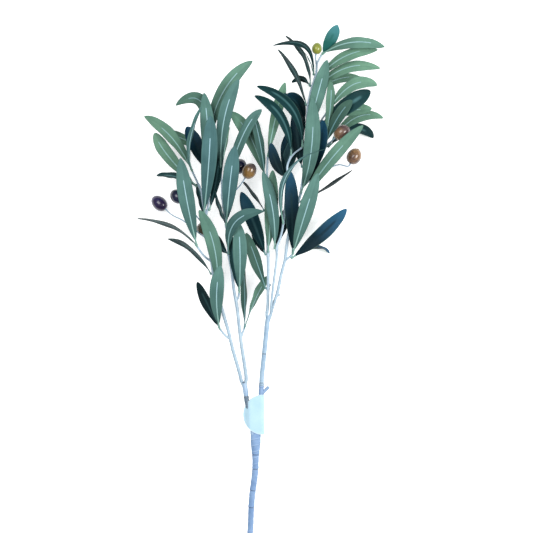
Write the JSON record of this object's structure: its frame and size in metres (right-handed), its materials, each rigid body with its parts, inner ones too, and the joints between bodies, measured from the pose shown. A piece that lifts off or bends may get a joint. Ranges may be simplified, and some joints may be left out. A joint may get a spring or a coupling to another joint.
{
  "type": "artificial olive branch with fruit",
  "caption": "Artificial olive spray with forked moulded twigs, slender ribbed fabric leaves, small stalked olives and a folded round paper tag, lying flat with a plain cut stem.",
  "frame": {"origin": "middle of the outline, on the surface that the spray lies on", "axes": "+Y up the stem from the cut end to the leaf tips, +X across the spray, +Z away from the surface"},
  "size_m": [0.2972, 0.6696, 0.0812],
  "materials": {
    "stem_wrap": "matt wrapped tape over wire",
    "twig_plastic": "satin moulded plastic",
    "leaf_fabric": "satin printed leaf fabric, sage on the ribbed side, dark teal on the other",
    "tag_paper": "uncoated card",
    "olive_purple": "semi-gloss painted plastic",
    "olive_navy_left": "semi-gloss painted plastic",
    "olive_hidden_left": "semi-gloss painted plastic",
    "olive_navy_centre": "semi-gloss painted plastic",
    "olive_gold_centre": "semi-gloss painted plastic",
    "olive_green_top": "semi-gloss painted plastic",
    "olive_brown_right": "semi-gloss painted plastic",
    "olive_tan_right": "semi-gloss painted plastic"
  },
  "bodies": {
    "root": {"main_stem": "stem_wrap", "left_branch": "stem_wrap", "right_branch": "stem_wrap", "outer_left_twig": "twig_plastic", "leaf_front_left": "leaf_fabric", "leaf_low_edge": "leaf_fabric", "leaf_inner_left": "leaf_fabric", "inner_left_twig": "twig_plastic", "leaf_centre_lean": "leaf_fabric", "right_branch_left_twig": "twig_plastic", "leaf_centre_low": "leaf_fabric", "leaf_centre_ribbed": "leaf_fabric", "leaf_thin_edge": "leaf_fabric", "leaf_light_back": "leaf_fabric", "right_branch_middle_twig": "twig_plastic", "leaf_middle_bent": "leaf_fabric", "leaf_middle_lean": "leaf_fabric", "right_branch_right_twig": "twig_plastic", "leaf_right_front": "leaf_fabric", "leaf_right_upper": "leaf_fabric", "leaf_right_teal": "leaf_fabric", "leaf_top_left_low": "leaf_fabric", "leaf_top_third": "leaf_fabric", "olive_purple": "olive_purple", "olive_navy_left": "olive_navy_left", "olive_hidden_left": "olive_hidden_left", "olive_navy_centre": "olive_navy_centre", "olive_gold_centre": "olive_gold_centre", "olive_green_top": "olive_green_top", "olive_brown_right": "olive_brown_right", "olive_tan_right": "olive_tan_right", "leaves_low_left": "leaf_fabric", "leaves_side_shoot": "leaf_fabric", "leaves_far_left": "leaf_fabric", "leaves_left_middle": "leaf_fabric", "leaves_navy_curled": "leaf_fabric", "leaves_bright_top": "leaf_fabric", "leaves_broad_front": "leaf_fabric", "leaves_inner_low": "leaf_fabric", "leaves_inner_middle": "leaf_fabric", "leaves_twisted": "leaf_fabric", "leaves_centre_front": "leaf_fabric", "leaves_inner_top": "leaf_fabric", "leaves_dark_centre": "leaf_fabric", "leaves_centre_high": "leaf_fabric", "leaves_middle_low": "leaf_fabric", "leaves_middle_navy": "leaf_fabric", "leaves_middle_top": "leaf_fabric", "leaves_blue_right": "leaf_fabric", "leaves_cluster_front": "leaf_fabric", "leaves_right_sweep": "leaf_fabric", "leaves_right_dark": "leaf_fabric", "leaves_right_fan": "leaf_fabric", "leaves_right_fruit": "leaf_fabric", "leaves_right_bottom": "leaf_fabric", "leaves_top_left_curl": "leaf_fabric", "leaves_top_left_high": "leaf_fabric", "leaves_top_low": "leaf_fabric", "leaves_top": "leaf_fabric", "paper_tag": "tag_paper"}
  },
  "joints": []
}
